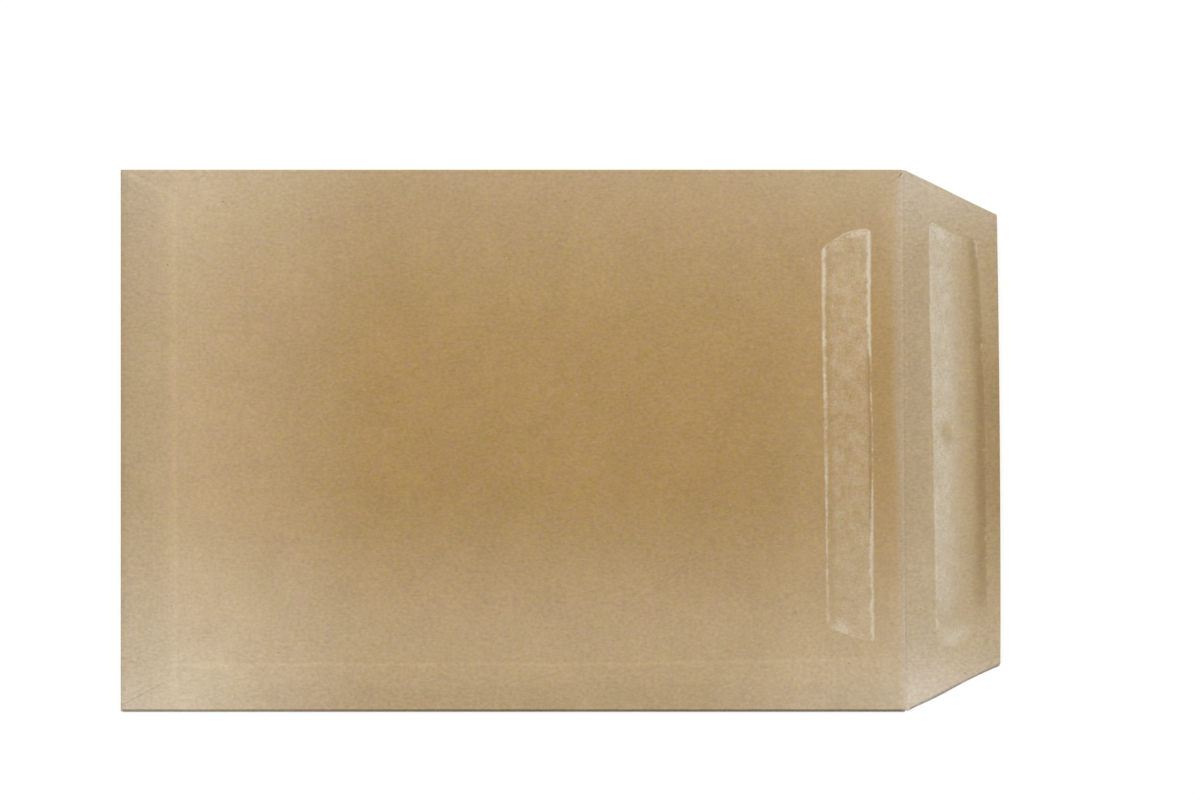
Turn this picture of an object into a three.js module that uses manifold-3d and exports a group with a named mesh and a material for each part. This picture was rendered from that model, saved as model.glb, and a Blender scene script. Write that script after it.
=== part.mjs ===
// A large kraft paper pocket envelope, empty, lying on a table with its seal flap open.
// Millimetres, +Z up. The address panel lies on the table and the back panel is on top.
// +X points to the seal flap and +Y to the plain folded side.
// The origin is the middle of the address panel's outer face.

import * as THREE from 'three';
import { mergeVertices } from 'three/addons/utils/BufferGeometryUtils.js';
import Module from 'manifold-3d';

// The paper and the pocket
const paperThickness = 0.12;
const pocketLength = 331;
const pocketWidth = 228;
const foldClearHeight = 0.9;
const lapClearance = 0.04;
const panelInset = 0.4;
const foldEndInset = 0.4;

// The laps folded in between the two panels
const sideStripDepth = 20.5;
const sideStripBottomSlant = 7;
const sideStripMouthSlant = 6.5;
const bottomFlapDepth = 22.8;
const bottomFlapRootMarginPlain = 1.3;
const bottomFlapRootMarginSeam = 1.9;
const bottomFlapTaperPlain = 10.5;
const bottomFlapTaperSeam = 11.7;
const flapCornerRadius = 2.5;

// The seal flap, its curl, and the scored line it folds on
const sealFlapDepth = 38.8;
const sealFlapTaperPlain = 19;
const sealFlapTaperSeam = 19.8;
const sealFlapArch = 1;
const sealFlapCurl = 1.5;
const sealFlapTrough = 25;
const sealFlapEndFade = 0.35;
const scoreHeight = 0.2;
const scoreHalfWidth = 1.2;

// The mouth cut and how far the pocket stands open
const throatDepthPlain = 4.1;
const throatDepthSeam = 2.9;
const throatShoulder = 5;
const crownHeight = 6;
const lapSettle = 0.16;
const lapSettleRamp = 1.6;
const lapSettleReach = 18;

// The glue in the two seams
const glueThickness = 0.05;
const glueMargin = 2;

// The two strips of dried latex gum
const gumThickness = 0.08;
const gumSeat = 0.03;
const gumWidth = 20.5;
const gumNearLength = 175;
const gumFarLength = 158;
const flapGumFromScore = 11.2;
const flapGumCentre = 4;
const backGumFromScore = 15;
const backGumCentre = 1.6;

// How finely the curved paper is divided
const foldSegments = 8;
const panelCellsAlong = 13;
const panelCellsAcross = 13;
const flapCellsAlong = 10;
const flapCellsAcross = 8;

// Heights of the layers, from the table up
const frontTop = paperThickness;
const stripLow = frontTop + foldClearHeight;
const stripTop = stripLow + paperThickness;
const flapLow = stripTop + lapClearance;
const flapTop = flapLow + paperThickness;
const panelLowOverFlap = flapTop + glueThickness;
const panelLowOverStrip = stripTop + glueThickness;

// Outer radii of the three side folds, each half the height of what it wraps
const stripFoldRadius = stripTop / 2;
const flapFoldRadius = flapTop / 2;
const plainFoldRadius = (panelLowOverFlap + paperThickness) / 2;

// Places on the pocket
const bottomX = -pocketLength / 2;
const scoreX = pocketLength / 2;
const seamY = -pocketWidth / 2;
const plainY = pocketWidth / 2;
const flapEdgeX = bottomX + bottomFlapDepth;
const stripEdgeY = seamY + sideStripDepth;
const foldEndX = scoreX - scoreHalfWidth - foldEndInset;
const panelPlainY = plainY - plainFoldRadius;
const stripFoldY = seamY + stripFoldRadius;
const flapFoldX = bottomX + flapFoldRadius;
const stripBottomX = flapFoldX + foldEndInset;

// A cutting prism reaches past every layer, above and below
const prismReach = 2;
const prismHeight = panelLowOverFlap + paperThickness + crownHeight + 2 * prismReach;

// Vertices closer than this are one vertex
const weldDistance = 1e-4;

const { clamp, lerp, smoothstep } = THREE.MathUtils;

const wasm = await Module();
wasm.setup();

// A closed geometry as a solid that can be joined and cut.
function solidOf(geometry) {
  const bare = geometry.clone();
  bare.deleteAttribute('normal');
  bare.deleteAttribute('uv');
  const merged = mergeVertices(bare, weldDistance);
  return new wasm.Manifold(new wasm.Mesh({
    numProp: 3,
    vertProperties: new Float32Array(merged.attributes.position.array),
    triVerts: new Uint32Array(merged.index.array),
  }));
}

// A solid as a named mesh with flat facets.
function meshOf(name, solid, material) {
  const { numProp, vertProperties, triVerts } = solid.getMesh();
  const positions = new Float32Array(triVerts.length * 3);
  triVerts.forEach((vertex, corner) => {
    positions.set(vertProperties.subarray(vertex * numProp, vertex * numProp + 3), corner * 3);
  });
  const geometry = new THREE.BufferGeometry();
  geometry.setAttribute('position', new THREE.BufferAttribute(positions, 3));
  geometry.computeVertexNormals();
  const mesh = new THREE.Mesh(geometry, material);
  mesh.name = name;
  return mesh;
}

// Evenly spaced stations from start to end.
function stations(start, end, cells) {
  return Array.from({ length: cells + 1 }, (_, i) => lerp(start, end, i / cells));
}

// A sheet of even thickness over the grid of stations xs and ys, whose underside is low(x, y).
function formedSheet(xs, ys, low, thickness) {
  const columns = xs.length;
  const rows = ys.length;
  const plane = new THREE.PlaneGeometry(1, 1, columns - 1, rows - 1);
  const count = plane.attributes.position.count;
  const positions = new Float32Array(count * 6);
  for (let i = 0; i < count; i += 1) {
    const x = xs[i % columns];
    const y = ys[rows - 1 - Math.floor(i / columns)];
    const z = low(x, y);
    positions.set([x, y, z + thickness], i * 3);
    positions.set([x, y, z], (count + i) * 3);
  }
  const above = Array.from(plane.index.array);
  const below = above.map((vertex) => count + vertex).reverse();
  const rim = [
    ...Array.from({ length: columns - 1 }, (_, c) => (rows - 1) * columns + c),
    ...Array.from({ length: rows - 1 }, (_, r) => (rows - 1 - r) * columns + columns - 1),
    ...Array.from({ length: columns - 1 }, (_, c) => columns - 1 - c),
    ...Array.from({ length: rows - 1 }, (_, r) => r * columns),
  ];
  const walls = rim.flatMap((a, i) => {
    const b = rim[(i + 1) % rim.length];
    return [count + a, count + b, b, count + a, b, a];
  });
  const geometry = new THREE.BufferGeometry();
  geometry.setAttribute('position', new THREE.BufferAttribute(positions, 3));
  geometry.setIndex([...above, ...below, ...walls]);
  return solidOf(geometry);
}

// The upright prism over an outline drawn in plan.
function prismOf(outline) {
  const geometry = new THREE.ExtrudeGeometry(outline, {
    depth: prismHeight,
    bevelEnabled: false,
    curveSegments: foldSegments,
  });
  geometry.translate(0, 0, -prismReach);
  return solidOf(geometry);
}

// A closed outline through points in plan.
function outlineOf(points) {
  return new THREE.Shape(points.map(([x, y]) => new THREE.Vector2(x, y)));
}

// A half-round fold from the address panel up to a layer whose underside is at upperLow.
// Its section has outward along its first axis, and start is one end of the fold's centre line.
function foldedEdge(upperLow, length, start, outward, along) {
  const upperTop = upperLow + paperThickness;
  const centre = (frontTop + upperLow) / 2;
  const section = new THREE.Shape();
  section.absarc(0, centre, upperTop / 2, -Math.PI / 2, Math.PI / 2, false);
  section.absarc(0, centre, (upperLow - frontTop) / 2, Math.PI / 2, -Math.PI / 2, true);
  const geometry = new THREE.ExtrudeGeometry(section, {
    depth: length,
    bevelEnabled: false,
    curveSegments: foldSegments,
  });
  geometry.applyMatrix4(new THREE.Matrix4().makeBasis(outward, new THREE.Vector3(0, 0, 1), along));
  geometry.translate(start.x, start.y, 0);
  return solidOf(geometry);
}

// How high the address panel and the seal flap stand: flat on the table up to the scored line,
// a raised line there, then an arch, a trough that touches the table and a curled free edge.
function frontLow(x, y) {
  const past = x - scoreX;
  const score = scoreHeight * Math.max(0, 1 - Math.abs(past) / scoreHalfWidth);
  if (past <= 0) {
    return score;
  }
  const fade = 1 - sealFlapEndFade * (y / plainY) ** 2;
  const arch = sealFlapArch * Math.sin(Math.PI * clamp(past / sealFlapTrough, 0, 1)) ** 2;
  const curl = sealFlapCurl * Math.max(0, (past - sealFlapTrough) / (sealFlapDepth - sealFlapTrough)) ** 2;
  return score + fade * (arch + curl);
}

// How far the back panel settles just past the edge of a lap, at a distance from that edge.
function settle(distance) {
  const down = clamp(distance / lapSettleRamp, 0, 1);
  const back = 1 - smoothstep(distance, lapSettleRamp, lapSettleReach);
  return lapSettle * down * back;
}

// The underside of the back panel: flat over the glued laps, a little lower just past them,
// and sprung up in between, most at the mouth.
function panelLow(x, y) {
  const pastFlap = x - flapEdgeX;
  const pastStrip = y - stripEdgeY;
  const inward = clamp(pastFlap / lapSettleRamp, 0, 1);
  const overStrip = inward * (1 - smoothstep(pastStrip, 0, lapSettleReach));
  const across = clamp(pastStrip / (panelPlainY - stripEdgeY), 0, 1);
  const along = clamp(pastFlap / (scoreX - flapEdgeX), 0, 1);
  const crown = crownHeight * Math.sin(Math.PI * across) ** 2 * Math.sin(Math.PI * along / 2);
  const edgeFade = smoothstep(panelPlainY - y, 0, lapSettleReach);
  const settled = Math.max(settle(pastFlap) * edgeFade * clamp(pastStrip, 0, 1), settle(pastStrip) * inward);
  return panelLowOverFlap - (panelLowOverFlap - panelLowOverStrip) * overStrip - settled + crown;
}

// The address panel with the open seal flap, as one run of paper.
function addressPanelAndSealFlap() {
  const xs = [
    flapFoldX,
    0,
    scoreX - scoreHalfWidth,
    scoreX,
    ...stations(scoreX + scoreHalfWidth, scoreX + sealFlapDepth, flapCellsAlong),
  ];
  const ys = stations(seamY, plainY, flapCellsAcross);
  const outline = outlineOf([
    [flapFoldX, stripFoldY],
    [foldEndX, stripFoldY],
    [foldEndX, seamY + panelInset],
    [scoreX, seamY + panelInset],
    [scoreX + sealFlapDepth, seamY + sealFlapTaperSeam],
    [scoreX + sealFlapDepth, plainY - sealFlapTaperPlain],
    [scoreX, plainY - panelInset],
    [foldEndX, plainY - panelInset],
    [foldEndX, panelPlainY],
    [flapFoldX, panelPlainY],
  ]);
  return { xs, ys, solid: formedSheet(xs, ys, frontLow, paperThickness).intersect(prismOf(outline)) };
}

// The back panel, cut square at the bottom and with a shallow throat at the mouth.
function backPanel() {
  const xs = [
    bottomX,
    flapEdgeX,
    flapEdgeX + lapSettleRamp,
    ...stations(flapEdgeX + lapSettleReach, scoreX, panelCellsAlong),
  ];
  const ys = [
    seamY,
    stripEdgeY,
    stripEdgeY + lapSettleRamp,
    ...stations(stripEdgeY + lapSettleReach, panelPlainY, panelCellsAcross),
  ];
  const outline = new THREE.Shape();
  outline.moveTo(bottomX + panelInset, seamY + panelInset);
  outline.lineTo(foldEndX, seamY + panelInset);
  outline.quadraticCurveTo(
    scoreX - throatDepthSeam,
    seamY + panelInset,
    scoreX - throatDepthSeam,
    seamY + panelInset + throatShoulder,
  );
  outline.lineTo(scoreX - throatDepthPlain, panelPlainY - throatShoulder);
  outline.quadraticCurveTo(scoreX - throatDepthPlain, panelPlainY, foldEndX, panelPlainY);
  outline.lineTo(bottomX + panelInset, panelPlainY);
  return { xs, ys, solid: formedSheet(xs, ys, panelLow, paperThickness).intersect(prismOf(outline)) };
}

// The side strip, folded in along the seam side, with both ends cut on a slant.
function sideStrip() {
  const outline = outlineOf([
    [stripBottomX, stripFoldY],
    [foldEndX, stripFoldY],
    [foldEndX - sideStripMouthSlant, stripEdgeY],
    [stripBottomX + sideStripBottomSlant, stripEdgeY],
  ]);
  const low = () => stripLow;
  return formedSheet([bottomX, scoreX], [seamY, stripEdgeY], low, paperThickness)
    .intersect(prismOf(outline));
}

// The plan of the bottom flap beyond its fold, tapered and with rounded tips, inset by a margin.
function bottomFlapOutline(margin) {
  const rootSeam = seamY + bottomFlapRootMarginSeam + margin;
  const rootPlain = plainY - bottomFlapRootMarginPlain - margin;
  const tipSeam = rootSeam + bottomFlapTaperSeam;
  const tipPlain = rootPlain - bottomFlapTaperPlain;
  const rootX = flapFoldX + margin;
  const tipX = flapEdgeX - margin;
  const outline = new THREE.Shape();
  outline.moveTo(rootX, rootSeam);
  outline.lineTo(tipX - flapCornerRadius, tipSeam - flapCornerRadius * bottomFlapTaperSeam / bottomFlapDepth);
  outline.quadraticCurveTo(tipX, tipSeam, tipX, tipSeam + flapCornerRadius);
  outline.lineTo(tipX, tipPlain - flapCornerRadius);
  outline.quadraticCurveTo(
    tipX,
    tipPlain,
    tipX - flapCornerRadius,
    tipPlain + flapCornerRadius * bottomFlapTaperPlain / bottomFlapDepth,
  );
  outline.lineTo(rootX, rootPlain);
  return outline;
}

// The bottom flap, folded in over the side strip's end.
function bottomFlap() {
  const low = () => flapLow;
  return formedSheet([bottomX, flapEdgeX], [seamY, plainY], low, paperThickness)
    .intersect(prismOf(bottomFlapOutline(0)));
}

// The folded blank as one solid.
function foldedSheet() {
  const alongX = new THREE.Vector3(1, 0, 0);
  const alongY = new THREE.Vector3(0, 1, 0);
  const plainFold = foldedEdge(
    panelLowOverFlap,
    foldEndX - flapFoldX,
    new THREE.Vector2(flapFoldX, panelPlainY),
    alongY,
    alongX,
  );
  const seamFold = foldedEdge(
    stripLow,
    foldEndX - stripBottomX,
    new THREE.Vector2(foldEndX, stripFoldY),
    alongY.clone().negate(),
    alongX.clone().negate(),
  );
  const bottomFold = foldedEdge(
    flapLow,
    pocketWidth - bottomFlapRootMarginSeam - bottomFlapRootMarginPlain,
    new THREE.Vector2(flapFoldX, seamY + bottomFlapRootMarginSeam),
    alongX.clone().negate(),
    alongY,
  );
  return [plainFold, seamFold, bottomFold, backPanel().solid, sideStrip(), bottomFlap()]
    .reduce((whole, piece) => whole.add(piece), addressPanelAndSealFlap().solid);
}

// The glue between the side strip and the back panel, clear of the bottom flap.
function sideSeamGlue() {
  const outline = outlineOf([
    [flapEdgeX + lapSettleRamp + glueMargin, stripFoldY + glueMargin],
    [foldEndX - sideStripMouthSlant - glueMargin, stripFoldY + glueMargin],
    [foldEndX - sideStripMouthSlant - glueMargin, stripEdgeY - glueMargin],
    [flapEdgeX + lapSettleRamp + glueMargin, stripEdgeY - glueMargin],
  ]);
  const low = () => stripTop;
  return formedSheet([flapEdgeX, scoreX], [seamY, stripEdgeY], low, glueThickness)
    .intersect(prismOf(outline));
}

// The glue between the bottom flap and the back panel.
function bottomSeamGlue() {
  const low = () => flapTop;
  return formedSheet([bottomX, flapEdgeX], [seamY, plainY], low, glueThickness)
    .intersect(prismOf(bottomFlapOutline(glueMargin)));
}

// A gum strip laid on a sheet: longer on the side near the scored line, with slanted ends.
function gumStrip(sheet, low, nearX, farX, centreY) {
  const outline = outlineOf([
    [nearX, centreY - gumNearLength / 2],
    [farX, centreY - gumFarLength / 2],
    [farX, centreY + gumFarLength / 2],
    [nearX, centreY + gumNearLength / 2],
  ]);
  const gumLow = (x, y) => low(x, y) + paperThickness + gumSeat;
  return formedSheet(sheet.xs, sheet.ys, gumLow, gumThickness).intersect(prismOf(outline));
}

const kraftPaper = new THREE.MeshStandardMaterial({ color: 0xaf9364, roughness: 0.9, metalness: 0 });
const latexGum = new THREE.MeshStandardMaterial({ color: 0xc8bb9f, roughness: 0.45, metalness: 0 });
const seamGlue = new THREE.MeshStandardMaterial({ color: 0xd8cfb8, roughness: 0.6, metalness: 0 });

const flapGumX = scoreX + flapGumFromScore;
const backGumX = scoreX - backGumFromScore;

const envelope = new THREE.Group();
envelope.name = 'paper_envelope';
envelope.add(meshOf('folded_sheet', foldedSheet(), kraftPaper));
envelope.add(meshOf(
  'flap_gum_strip',
  gumStrip(addressPanelAndSealFlap(), frontLow, flapGumX, flapGumX + gumWidth, flapGumCentre),
  latexGum,
));
envelope.add(meshOf(
  'back_gum_strip',
  gumStrip(backPanel(), panelLow, backGumX, backGumX - gumWidth, backGumCentre),
  latexGum,
));
envelope.add(meshOf('side_seam_glue', sideSeamGlue(), seamGlue));
envelope.add(meshOf('bottom_seam_glue', bottomSeamGlue(), seamGlue));

export default envelope;
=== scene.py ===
"""The looks of a large kraft paper pocket envelope, lying empty with its seal flap open.

Lengths are in millimetres where shapes are worked out, and become metres as they enter a mesh.
+X points to the seal flap, +Y to the plain folded side and +Z up through the back panel.
"""

import math

import bpy
import numpy as np
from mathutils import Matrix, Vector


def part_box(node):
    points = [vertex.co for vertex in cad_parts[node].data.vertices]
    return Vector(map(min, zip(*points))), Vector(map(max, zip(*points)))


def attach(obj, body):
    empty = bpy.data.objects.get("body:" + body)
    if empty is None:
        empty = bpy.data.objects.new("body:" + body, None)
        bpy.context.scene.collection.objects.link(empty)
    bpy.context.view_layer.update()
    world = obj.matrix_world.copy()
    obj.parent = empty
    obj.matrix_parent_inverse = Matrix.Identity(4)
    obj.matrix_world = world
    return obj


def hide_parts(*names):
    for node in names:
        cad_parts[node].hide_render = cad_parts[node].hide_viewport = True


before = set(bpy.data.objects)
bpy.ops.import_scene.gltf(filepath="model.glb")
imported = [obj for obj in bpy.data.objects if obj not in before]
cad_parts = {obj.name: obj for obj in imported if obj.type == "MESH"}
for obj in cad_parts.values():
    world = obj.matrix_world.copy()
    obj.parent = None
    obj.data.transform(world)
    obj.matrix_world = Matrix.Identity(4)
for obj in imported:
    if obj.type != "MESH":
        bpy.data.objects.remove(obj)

bl_info = {
    "name": "Kraft Pocket Envelope",
    "version": (1, 0, 0),
    "blender": (4, 5, 0),
    "location": "View3D > Sidebar > Envelope",
    "description": "Builds the folded kraft sheet, its gum strips and the table it lies on",
    "category": "Add Mesh",
}

MM = 0.001

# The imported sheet's box gives the pocket's size, and the rest repeats the part's own dimensions.
SHEET_LOW, SHEET_HIGH = (np.array(corner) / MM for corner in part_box("folded_sheet"))
BOTTOM_X = SHEET_LOW[0]
SCORE_X = -BOTTOM_X
SEAM_Y = SHEET_LOW[1]
PLAIN_Y = SHEET_HIGH[1]
FLAP_TIP_X = SHEET_HIGH[0]
FLAP_DEPTH = FLAP_TIP_X - SCORE_X

PAPER = 0.12
FOLD_CLEAR = 0.9
LAP_CLEAR = 0.04
GLUE = 0.05
PANEL_INSET = 0.15
SEAM_INSET = 0.7
FOLD_START = 0.25

STRIP_DEPTH = 20.5
STRIP_BOTTOM_SLANT = 7
STRIP_MOUTH_SLANT = 6.5
LAP_DEPTH = 22.8
LAP_ROOT_PLAIN = 1.3
LAP_ROOT_SEAM = 1.9
LAP_TAPER_PLAIN = 10.5
LAP_TAPER_SEAM = 11.7
LAP_CORNER = 2.5
FOLD_SEGMENTS = 12

FLAP_TAPER_PLAIN = 19
FLAP_TAPER_SEAM = 19.8
FLAP_ARCH = 1
FLAP_CURL = 1.5
FLAP_TROUGH = 25
FLAP_END_FADE = 0.35
FLAP_ROUNDING = 0.6
SCORE_HEIGHT = 0.2
SCORE_HALF_WIDTH = 1.2

CROWN_HEIGHT = 6
SETTLE_DEPTH = 0.07
SETTLE_RAMP = 1.4
SETTLE_REACH = 18

# A faint line pressed in beside the plain fold
FOLD_LINE_DEPTH = 0.05
FOLD_LINE_INSET = 1.6
FOLD_LINE_WIDTH = 0.5
FOLD_LINE_FADE = 0.6

# A hair's breadth, for points that lie on an edge, and the turn between faces that makes an edge sharp
HAIR = 0.01
SHARP = math.radians(50)

# Layer heights from the table up, and the outer radius of each side fold
FRONT_TOP = PAPER
STRIP_LOW = FRONT_TOP + FOLD_CLEAR
STRIP_TOP = STRIP_LOW + PAPER
LAP_LOW = STRIP_TOP + LAP_CLEAR
LAP_TOP = LAP_LOW + PAPER
BACK_LOW_OVER_LAP = LAP_TOP + GLUE
BACK_LOW_OVER_STRIP = STRIP_TOP + GLUE
SEAM_RADIUS = STRIP_TOP / 2
LAP_RADIUS = LAP_TOP / 2
PLAIN_RADIUS = (BACK_LOW_OVER_LAP + PAPER) / 2

# Places in plan
LAP_EDGE_X = BOTTOM_X + LAP_DEPTH
STRIP_EDGE_Y = SEAM_Y + STRIP_DEPTH
FOLD_END_X = SCORE_X - SCORE_HALF_WIDTH
BACK_PLAIN_Y = PLAIN_Y - PLAIN_RADIUS
STRIP_FOLD_Y = SEAM_Y + SEAM_RADIUS
LAP_FOLD_X = BOTTOM_X + LAP_RADIUS
STRIP_BOTTOM_X = LAP_FOLD_X + FOLD_START
LAP_ROOT_LOW_Y = SEAM_Y + LAP_ROOT_SEAM
LAP_ROOT_HIGH_Y = PLAIN_Y - LAP_ROOT_PLAIN

# The mouth is a little out of square: how far x moves for each millimetre of y, and where that starts
MOUTH_SLANT = -0.0055
MOUTH_SLANT_FROM = 110

# The seal flap's free edge bows out by this much at its fullest place, and by nothing this far from it
TIP_BOW = 0.42
TIP_BOW_Y = -24
TIP_BOW_REACH = 90

# The side strip's inner edge isn't quite straight: x, and how far it moves towards the seam
STRIP_DRIFT_X = (32, 87, 142)
STRIP_DRIFT = (1.5, 0.6, -0.5)

# How far the back panel's cut edge lies behind the end of the side folds, across the mouth
THROAT_Y = (-113.6, -112.4, -109, -100, -60, -20, 20, 60, 98, 107, 111.5, 113.265)
THROAT_CUT = (0, 0.5, 0.9, 1.1, 1.6, 2.9, 4.0, 4.0, 3.0, 2.4, 1.3, 0)

# How much painted light lifts the inner face right beside that edge, against the shade the back panel casts
# there, across the mouth
THROAT_LIGHT_Y = (-105, -84, -42, -12, 17, 46, 76, 99, 107)
THROAT_LIGHT = (0, 0, 0, 0.2, 0.8, 1.2, 2.4, 1.6, 1.2)

# Soft dents pressed into the back panel: x, y, turn in degrees, half length, half width and height
DENTS = (
    (-0.6, -23.9, 48, 14, 4.5, -0.10),
    (-94.9, 35.4, 92, 20, 5, -0.09),
    (-70.9, -77, 90, 11, 4, -0.07),
    (-36.8, -79.6, 88, 11, 4, -0.07),
    (38, 62, 12, 40, 9, 0.10),
    (82, -30, 75, 34, 8, -0.08),
    (-40, 20, 25, 45, 12, 0.09),
    (5, -62, 170, 48, 7, 0.07),
)

# Long waves over the back panel: length, turn in degrees, phase and height
WAVES = ((62, 20, 0.4, 0.035), (47, 115, 1.7, 0.025), (33, 70, 2.6, 0.012))


def smoothstep(value, start, end):
    """0 before start and 1 after end. In between, three times the share's square less twice its cube."""
    share = np.clip((value - start) / (end - start), 0, 1)
    return share * share * (3 - 2 * share)


def band(value, start, full, last, end):
    """1 from full to last and 0 outside start to end, joined by smoothsteps."""
    return smoothstep(value, start, full) * (1 - smoothstep(value, last, end))


def bell(value, middle, width):
    """1 in the middle, and falling off as the exponential of minus the square of the distance in widths."""
    return np.exp(-(((value - middle) / width) ** 2))


def stations(*runs):
    """Stations along a line. Each run goes from start to end in even steps no longer than its spacing."""
    steps = [
        np.linspace(start, end, max(2, math.ceil((end - start) / spacing) + 1))
        for start, end, spacing in runs
    ]
    return np.unique(np.concatenate(steps))


def smooth_noise(places, spacing, seed):
    """Random values from minus one to one a spacing apart, joined smoothly by the smoothstep curve."""
    scaled = np.asarray(places) / spacing
    cell = np.floor(scaled).astype(int)
    share = smoothstep(scaled - cell, 0, 1)
    values = np.random.default_rng(seed).uniform(-1, 1, cell.max() - cell.min() + 2)
    first = cell - cell.min()
    return values[first] * (1 - share) + values[first + 1] * share


def along_flap(x):
    """0 up to the scored line, and 1 at the seal flap's free edge."""
    return np.clip((x - SCORE_X) / FLAP_DEPTH, 0, 1)


def slanted(x, y):
    """x moved in proportion to y, by the smoothstep of how near the mouth it is, and on the seal flap by a
    parabola that bows out its free edge."""
    bow = TIP_BOW * (1 - ((y - TIP_BOW_Y) / TIP_BOW_REACH) ** 2) * along_flap(x)
    return x + MOUTH_SLANT * y * smoothstep(x, MOUTH_SLANT_FROM, SCORE_X) + bow


def unslanted(x, y):
    """The x that slanted moves to this one, to well within a hundredth of a millimetre."""
    return 2 * x - slanted(x, y)


def past_strip_edge(x, y):
    """How far a place lies past the inner edge of the side strip."""
    return y - STRIP_EDGE_Y + np.interp(x, STRIP_DRIFT_X, STRIP_DRIFT)


def front_height(x, y):
    """Underside of the address panel and the seal flap: flat, a cosine ridge on the scored line, a squared
    sine for the arch, and a parabola for the curled edge. The last two are weaker towards the sides."""
    past = x - SCORE_X
    ridge = SCORE_HEIGHT * (0.5 + 0.5 * np.cos(np.pi * np.clip(past / SCORE_HALF_WIDTH, -1, 1)))
    fade = 1 - FLAP_END_FADE * (y / PLAIN_Y) ** 2
    arch = FLAP_ARCH * np.sin(np.pi * np.clip(past / FLAP_TROUGH, 0, 1)) ** 2
    curl = FLAP_CURL * np.maximum(0, (past - FLAP_TROUGH) / (FLAP_DEPTH - FLAP_TROUGH)) ** 2
    return ridge + fade * (arch + curl)


def settle(distance):
    """How far the back panel sinks just past a lap's edge: down along a smoothstep, then slowly back up."""
    return SETTLE_DEPTH * band(distance, 0, SETTLE_RAMP, SETTLE_RAMP, SETTLE_REACH)


def free_area(x, y):
    """1 where the back panel is free of laps and folds, falling smoothly to 0 at each of them."""
    return (
        smoothstep(x, LAP_EDGE_X, LAP_EDGE_X + SETTLE_REACH)
        * smoothstep(y, STRIP_EDGE_Y, STRIP_EDGE_Y + SETTLE_REACH)
        * smoothstep(BACK_PLAIN_Y - y, 0, SETTLE_REACH)
    )


def waviness(x, y):
    """The sum of the dents, each a bell along and across its own direction, and of a few long sine waves."""
    total = np.zeros(np.broadcast(x, y).shape)
    for middle_x, middle_y, turn, half_length, half_width, height in DENTS:
        cos, sin = math.cos(math.radians(turn)), math.sin(math.radians(turn))
        along = (x - middle_x) * cos + (y - middle_y) * sin
        across = (y - middle_y) * cos - (x - middle_x) * sin
        total += height * bell(along, 0, half_length) * bell(across, 0, half_width)
    for length, turn, shift, height in WAVES:
        cos, sin = math.cos(math.radians(turn)), math.sin(math.radians(turn))
        total += height * np.sin(2 * np.pi * (x * cos + y * sin) / length + shift)
    return total


def back_height(x, y):
    """Underside of the back panel: flat over the glued laps, a little lower just past them, and sprung up in
    between as a squared sine across and a quarter sine along, with the waviness and a faint fold line."""
    past_lap = x - LAP_EDGE_X
    past_strip = past_strip_edge(x, y)
    inward = smoothstep(past_lap, 0, SETTLE_RAMP)
    over_strip = inward * (1 - smoothstep(past_strip, 0, SETTLE_REACH))
    across = np.clip(past_strip / (BACK_PLAIN_Y - STRIP_EDGE_Y), 0, 1)
    along = np.clip(past_lap / (SCORE_X - LAP_EDGE_X), 0, 1)
    crown = CROWN_HEIGHT * np.sin(np.pi * across) ** 2 * np.sin(np.pi * along / 2)
    edge_fade = smoothstep(BACK_PLAIN_Y - y, 0, SETTLE_REACH)
    lap_settled = settle(past_lap) * edge_fade * np.clip(past_strip, 0, 1)
    settled = np.maximum(lap_settled, settle(past_strip) * inward)
    flat = BACK_LOW_OVER_LAP - (BACK_LOW_OVER_LAP - BACK_LOW_OVER_STRIP) * over_strip
    fold_line = FOLD_LINE_DEPTH * bell(PLAIN_Y - y, FOLD_LINE_INSET, FOLD_LINE_WIDTH)
    fold_line *= smoothstep(BACK_PLAIN_Y - y, 0, FOLD_LINE_FADE)
    return flat - settled - fold_line + crown + waviness(x, y) * free_area(x, y)


def grid(rows, columns, turned=False):
    """Quads of a grid numbered row by row. Turned round, each goes from its columns to its rows instead."""
    corner = np.arange((rows - 1) * columns).reshape(rows - 1, columns)[:, :-1].ravel()
    quads = np.stack([corner, corner + 1, corner + columns + 1, corner + columns], axis=1)
    return quads[:, ::-1] if turned else quads


def half_round(edge, centre_z, radius, axis, sign):
    """A half-round fold over a row of edge points: each moves out by the sine and up by minus the cosine."""
    turn = np.linspace(0, np.pi, FOLD_SEGMENTS + 1)[:, None]
    points = np.repeat(edge[None, :, :], FOLD_SEGMENTS + 1, axis=0)
    points[:, :, axis] += sign * radius * np.sin(turn)
    points[:, :, 2] = centre_z - radius * np.cos(turn)
    return points


def corner_cut(x, end, radius):
    """How far a quarter circle of this radius takes a side in, as x nears the end."""
    past = np.clip((x - end + radius) / radius, 0, 1)
    return radius * (1 - np.sqrt(1 - past**2))


def address_panel_and_seal_flap(xs, ys):
    """A flat panel whose sides widen to the scored line and then taper in straight lines to the free edge."""
    x, share = np.meshgrid(xs, (ys - ys[0]) / (ys[-1] - ys[0]))
    widen = smoothstep(x, FOLD_END_X, FOLD_END_X + 0.2)
    taper = along_flap(x)
    rounded = corner_cut(x, FLAP_TIP_X, FLAP_ROUNDING)
    low = ys[0] + (SEAM_Y + PANEL_INSET - ys[0]) * widen
    low += (FLAP_TAPER_SEAM - PANEL_INSET) * taper + rounded
    high = ys[-1] + (PLAIN_Y - PANEL_INSET - ys[-1]) * widen
    high -= (FLAP_TAPER_PLAIN - PANEL_INSET) * taper + rounded
    y = low + (high - low) * share
    return np.stack([x, y, front_height(x, y) + PAPER / 2], axis=-1)


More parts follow.
